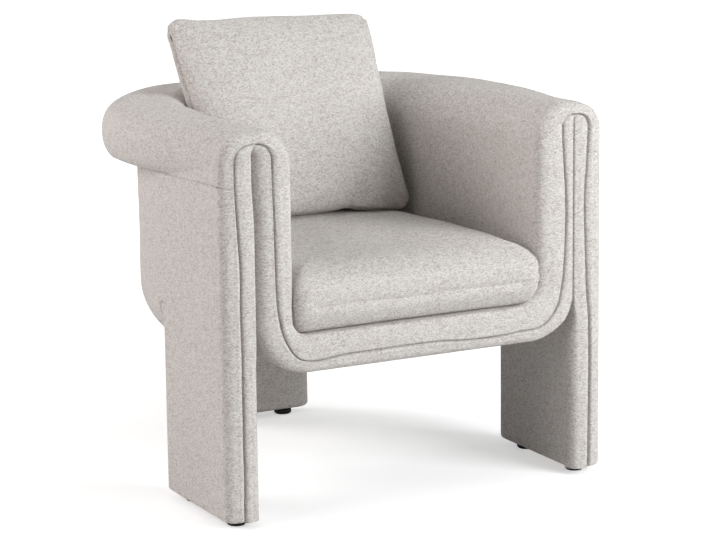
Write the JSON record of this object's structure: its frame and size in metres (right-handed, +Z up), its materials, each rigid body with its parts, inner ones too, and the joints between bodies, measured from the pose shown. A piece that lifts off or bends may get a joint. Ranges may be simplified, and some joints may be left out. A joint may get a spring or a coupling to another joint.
{
  "type": "tub chair",
  "caption": "Upholstered tub chair with a rolled rim that runs round the back into slab front legs, a slab rear leg, a loose seat cushion and a loose back pillow.",
  "frame": {"origin": "on the floor under the middle of the chair's overall width and depth", "axes": "+X to the right of a viewer who faces the chair's front, +Y from the front of the chair to its back, +Z up"},
  "size_m": [0.8156, 0.7629, 0.8176],
  "materials": {
    "cloth": "matte",
    "foam": "matte",
    "wadding": "matte",
    "board": "matte",
    "timber": "matte",
    "fibreboard": "matte",
    "webbing": "matte",
    "dust_cloth": "matte",
    "zip_tape": "matte",
    "bolt_steel": "satin",
    "glide_plastic": "satin"
  },
  "bodies": {
    "chair": {"inside_cover": "cloth", "rim_foam": "foam", "outside_cover": "cloth", "outside_board": "fibreboard", "front_border_cover": "cloth", "front_padding": "wadding", "arm_facing_left": "cloth", "arm_facing_right": "cloth", "leg_cover_left": "cloth", "leg_cover_right": "cloth", "leg_padding_left": "wadding", "leg_padding_right": "wadding", "leg_board_left": "board", "leg_board_right": "board", "arm_board_left": "board", "arm_board_right": "board", "leg_bolt_lower_left": "bolt_steel", "leg_bolt_upper_left": "bolt_steel", "leg_bolt_lower_right": "bolt_steel", "leg_bolt_upper_right": "bolt_steel", "leg_nut_lower_left": "bolt_steel", "leg_nut_upper_left": "bolt_steel", "leg_nut_lower_right": "bolt_steel", "leg_nut_upper_right": "bolt_steel", "glide_front_left": "glide_plastic", "glide_front_right": "glide_plastic", "glide_rear_left": "glide_plastic", "glide_rear_right": "glide_plastic", "glide_back_left": "glide_plastic", "glide_back_right": "glide_plastic", "rear_leg_cover": "cloth", "rear_leg_padding": "wadding", "rear_leg_board": "board", "inside_lining": "foam", "back_shell": "board", "top_rail": "timber", "seat_rail": "timber", "back_post_left": "timber", "back_post_right": "timber", "front_rail": "timber", "corner_block_left": "timber", "corner_block_right": "timber", "seat_strap_1": "webbing", "seat_strap_2": "webbing", "seat_strap_3": "webbing", "seat_strap_4": "webbing", "seat_strap_5": "webbing", "cross_strap_1": "webbing", "cross_strap_2": "webbing", "cross_strap_3": "webbing", "cross_strap_4": "webbing", "seat_deck": "foam", "dust_cover": "dust_cloth"},
    "seat_cushion": {"seat_cushion_cover": "cloth", "seat_cushion_core": "foam", "seat_cushion_zip": "zip_tape"},
    "pillow": {"pillow_cover": "cloth", "pillow_insert": "wadding", "pillow_zip": "zip_tape"}
  },
  "joints": [
    {"name": "seat_cushion_lift", "type": "slide", "parent": "chair", "child": "seat_cushion", "axis": [0, 0, 1], "range_m": [0, 0.4]},
    {"name": "pillow_lift", "type": "slide", "parent": "seat_cushion", "child": "pillow", "axis": [0, 0, 1], "range_m": [0, 0.3]}
  ]
}
